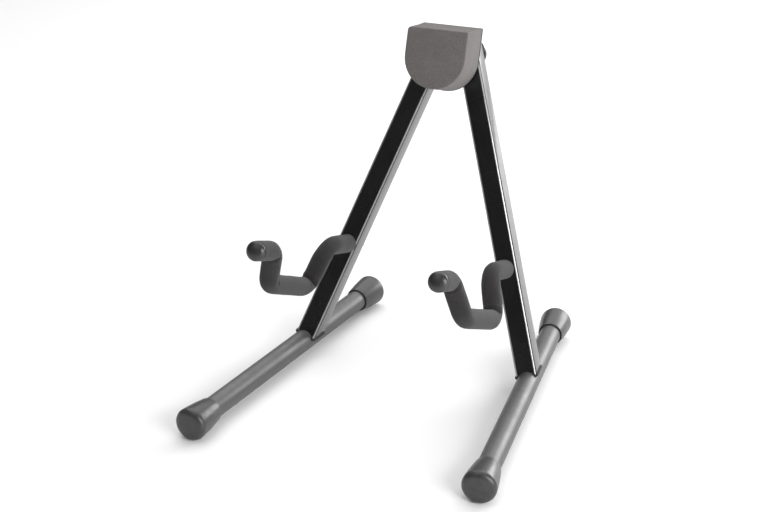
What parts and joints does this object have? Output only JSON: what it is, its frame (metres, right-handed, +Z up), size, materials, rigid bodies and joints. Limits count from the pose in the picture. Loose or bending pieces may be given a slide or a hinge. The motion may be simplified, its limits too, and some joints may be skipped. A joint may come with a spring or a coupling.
{
  "type": "folding guitar stand",
  "caption": "Folding A-frame guitar stand: two tube legs on floor bars with rubber boots, foam-covered cradle arms and a half-round foam neck block.",
  "frame": {"origin": "on the floor, below the centre of the bounding box of the open stand", "axes": "+X to the stand's right as the viewer in front sees it, +Y to the rear, +Z up; the stand faces -Y"},
  "size_m": [0.323, 0.3638, 0.3513],
  "materials": {
    "black_paint": "semi-gloss black powder coat",
    "pad_foam": "matte fine-cell foam, warm dark gray",
    "arm_foam": "matte fine-cell foam, dark gray",
    "cap_rubber": "satin dark gray moulded rubber",
    "tip_plastic": "glossy black moulded plastic",
    "black_plastic": "satin black moulded plastic",
    "dark_steel": "blackened zinc-plated steel"
  },
  "bodies": {
    "head": {"head_pad": "pad_foam", "front_hinge_plate": "black_paint", "rear_hinge_plate": "black_paint", "pivot_washers": "dark_steel", "right_pivot_sleeve": "dark_steel", "right_pivot_bolt": "dark_steel", "right_pivot_nut": "dark_steel", "right_nut_cap": "black_plastic", "left_pivot_sleeve": "dark_steel", "left_pivot_bolt": "dark_steel", "left_pivot_nut": "dark_steel", "left_nut_cap": "black_plastic"},
    "right_leg": {"right_leg_tube": "black_paint", "right_leg_top_plug": "black_plastic", "right_foot_tube": "black_paint", "right_foot_weld": "black_paint", "right_front_foot_cap": "cap_rubber", "right_rear_foot_cap": "cap_rubber", "right_arm_rod": "dark_steel", "right_arm_foam": "arm_foam", "right_arm_tip_cap": "tip_plastic", "right_arm_washer": "dark_steel", "right_arm_nut": "dark_steel"},
    "left_leg": {"left_leg_tube": "black_paint", "left_leg_top_plug": "black_plastic", "left_foot_tube": "black_paint", "left_foot_weld": "black_paint", "left_front_foot_cap": "cap_rubber", "left_rear_foot_cap": "cap_rubber", "left_arm_rod": "dark_steel", "left_arm_foam": "arm_foam", "left_arm_tip_cap": "tip_plastic", "left_arm_washer": "dark_steel", "left_arm_nut": "dark_steel"}
  },
  "joints": [
    {"name": "right_leg_fold", "type": "hinge", "parent": "head", "child": "right_leg", "pos_m": [0.01745, 0.1355, 0.3169], "axis": [0, 0.9521, -0.3057], "range_deg": [0, 18.4]},
    {"name": "left_leg_fold", "type": "hinge", "parent": "head", "child": "left_leg", "pos_m": [-0.01745, 0.1355, 0.3169], "axis": [0, -0.9521, 0.3057], "range_deg": [0, 18.4]}
  ]
}
